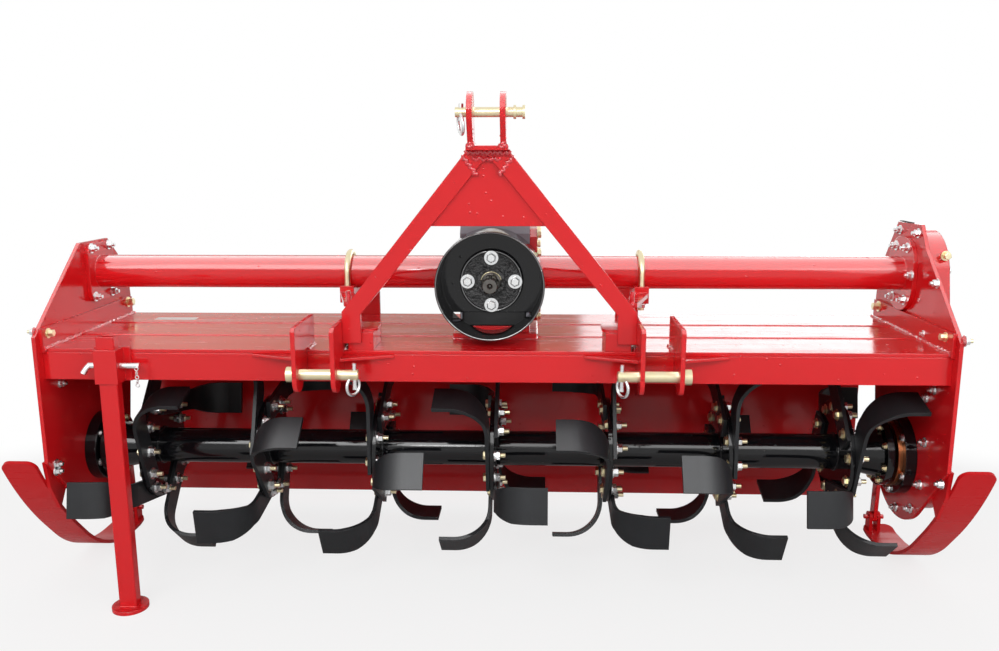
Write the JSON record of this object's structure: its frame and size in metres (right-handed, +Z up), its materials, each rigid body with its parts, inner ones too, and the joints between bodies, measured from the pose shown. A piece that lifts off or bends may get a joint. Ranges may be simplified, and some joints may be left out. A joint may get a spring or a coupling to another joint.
{
  "type": "rotary tiller",
  "caption": "Tractor mounted rotary tiller: red hood and hitch frame over a driven reel of bent blades, with side skids, a parking stand and a hinged tailgate.",
  "frame": {"origin": "on the floor, under the middle of the machine's outline", "axes": "+X across the machine, to the right as seen from the tractor's seat looking back, +Y from the tractor to the rear, +Z up"},
  "size_m": [2.05, 0.62, 1.0845],
  "materials": {
    "red_enamel": "glossy bright red enamel on welded steel",
    "black_enamel": "glossy black enamel",
    "blade_steel": "satin dark grey paint on spring steel blades",
    "yellow_zinc": "pale yellow zinc plating",
    "grey_iron": "grey painted casting",
    "bronze": "turned copper coloured ring",
    "bare_steel": "oiled machined steel",
    "spring_steel": "black coated spring wire"
  },
  "bodies": {
    "frame": {"bearing_cap": "black_enamel", "bearing_left": "black_enamel", "bearing_right": "black_enamel", "brace_left": "red_enamel", "brace_right": "red_enamel", "case_cover": "red_enamel", "chain_case": "red_enamel", "clevis_left": "red_enamel", "clevis_right": "red_enamel", "cross_tube_left": "red_enamel", "cross_tube_right": "red_enamel", "deck": "red_enamel", "foot_boxes": "red_enamel", "frame_knuckles": "red_enamel", "front_beam": "red_enamel", "gear_base": "red_enamel", "gear_side_cover": "red_enamel", "gearbox": "grey_iron", "hinge_rod": "yellow_zinc", "lower_pin_left": "yellow_zinc", "lower_pin_right": "yellow_zinc", "mast": "red_enamel", "pto_shield": "black_enamel", "rear_angle": "red_enamel", "rod_guides": "red_enamel", "seal_ring": "bronze", "side_plate_left": "red_enamel", "side_plate_right": "red_enamel", "skid_left": "red_enamel", "skid_right": "red_enamel", "stand_pin": "yellow_zinc", "stand_sleeve": "red_enamel", "strut_left": "red_enamel", "strut_right": "red_enamel", "top_pin": "yellow_zinc", "u_bolts": "yellow_zinc"},
    "rotor": {"rotor_tube": "black_enamel", "rotor_hub_left": "black_enamel", "rotor_hub_right": "black_enamel", "blades_left": "blade_steel", "blades_right": "blade_steel"},
    "input_shaft": {"input_shaft": "bare_steel"},
    "tailgate": {"tailgate": "red_enamel", "eye_pins": "yellow_zinc"},
    "gate_rod_left": {"gate_rod_left": "yellow_zinc", "spring_left": "spring_steel"},
    "gate_rod_right": {"gate_rod_right": "yellow_zinc", "spring_right": "spring_steel"},
    "stand": {"stand_leg": "red_enamel"}
  },
  "joints": [
    {"name": "rotor_spin", "type": "hinge", "parent": "frame", "child": "rotor", "pos_m": [0, -0.01, 0.293], "axis": [1, 0, 0], "continuous": true},
    {"name": "input_shaft_spin", "type": "hinge", "parent": "frame", "child": "input_shaft", "pos_m": [0, -0.176, 0.699], "axis": [0, 1, 0], "continuous": true},
    {"name": "tailgate_hinge", "type": "hinge", "parent": "frame", "child": "tailgate", "pos_m": [0, 0.218, 0.55], "axis": [1, 0, 0], "range_deg": [0, 45]},
    {"name": "gate_rod_left_swing", "type": "hinge", "parent": "tailgate", "child": "gate_rod_left", "pos_m": [-0.322, 0.293, 0.3465], "axis": [1, 0, 0], "range_deg": [-15, 0]},
    {"name": "gate_rod_right_swing", "type": "hinge", "parent": "tailgate", "child": "gate_rod_right", "pos_m": [0.322, 0.293, 0.3465], "axis": [1, 0, 0], "range_deg": [-15, 0]},
    {"name": "stand_slide", "type": "slide", "parent": "frame", "child": "stand", "axis": [0, 0, 1], "range_m": [0, 0.18]}
  ],
  "couplings": [
    {"joint": "input_shaft_spin", "follows": "rotor_spin", "ratio": 2.4},
    {"joint": "gate_rod_left_swing", "follows": "tailgate_hinge", "ratio": -0.31799},
    {"joint": "gate_rod_right_swing", "follows": "tailgate_hinge", "ratio": -0.31799}
  ]
}
